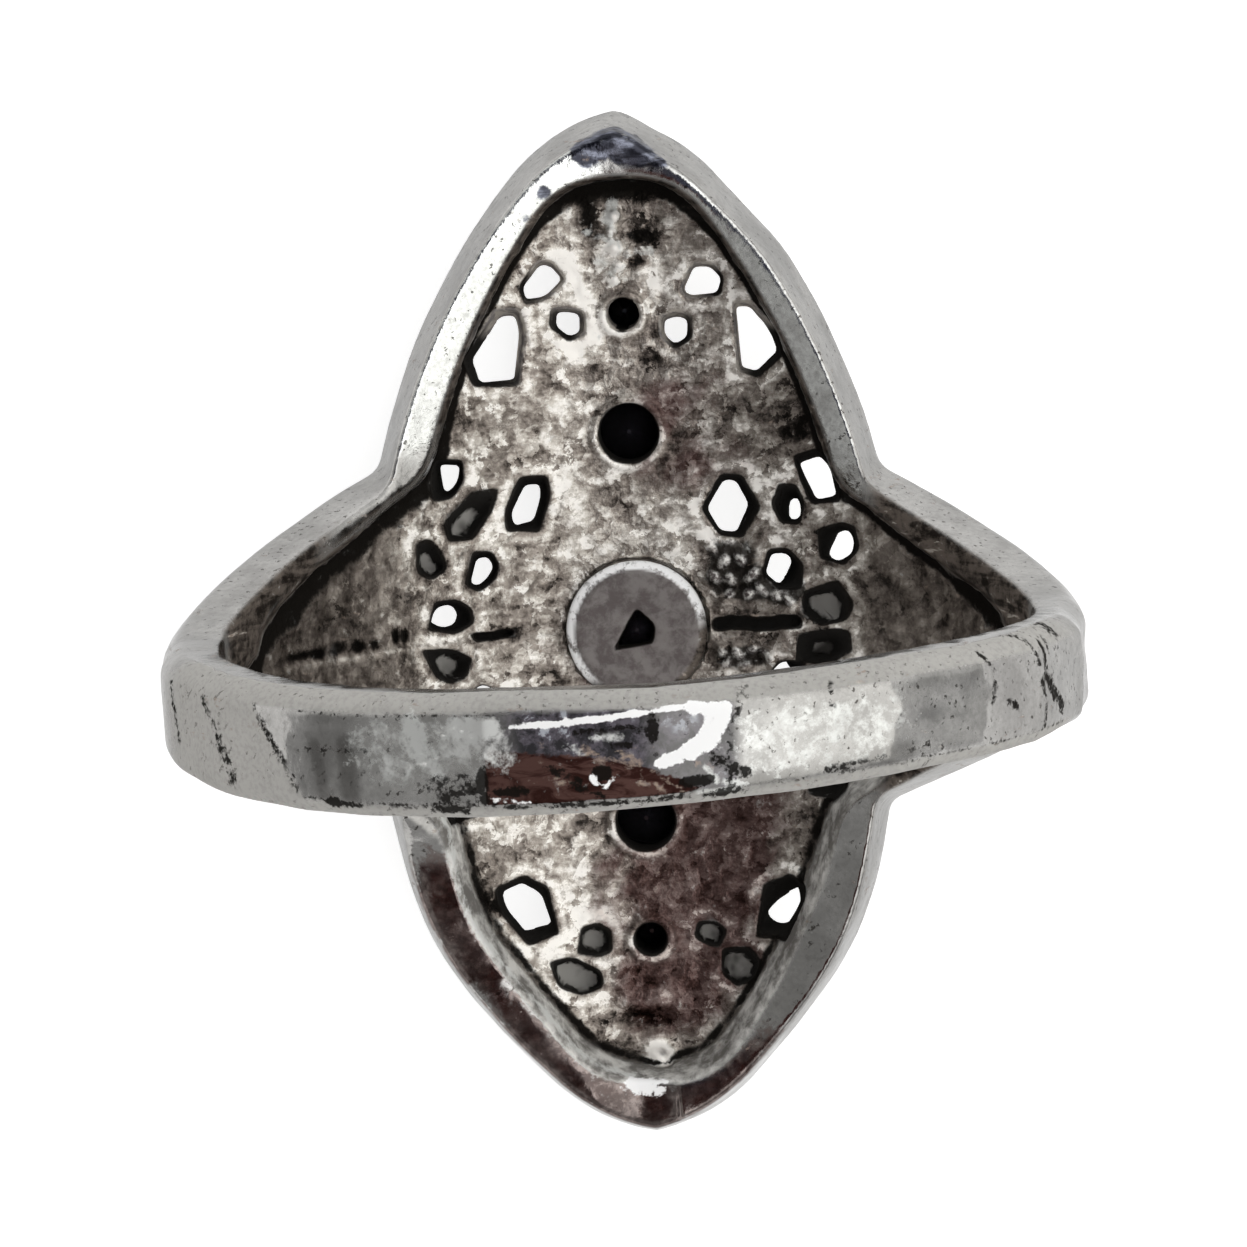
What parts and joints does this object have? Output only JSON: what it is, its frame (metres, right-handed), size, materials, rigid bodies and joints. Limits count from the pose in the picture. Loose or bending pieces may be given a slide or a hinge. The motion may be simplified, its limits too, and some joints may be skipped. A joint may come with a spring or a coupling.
{
  "type": "shield ring",
  "caption": "Finger ring with a long pointed oval pierced head, dark cut stones in plain bezels, a recessed back and tapering shoulders.",
  "frame": {"origin": "centre of the finger hole, in the middle of the head's length", "axes": "+Y along the finger and the head's length, +X across the shank, +Z from the head to the shank; the ring lies on its face"},
  "size_m": [0.0196, 0.0234, 0.0218],
  "materials": {
    "silver": "polished and worn silver, oxidised in the recess",
    "dark_stone": "polished"
  },
  "bodies": {
    "root": {"ring_body": "silver", "main_stone": "dark_stone", "upper_stone": "dark_stone", "lower_stone": "dark_stone", "upper_small_stone": "dark_stone", "lower_small_stone": "dark_stone"}
  },
  "joints": []
}
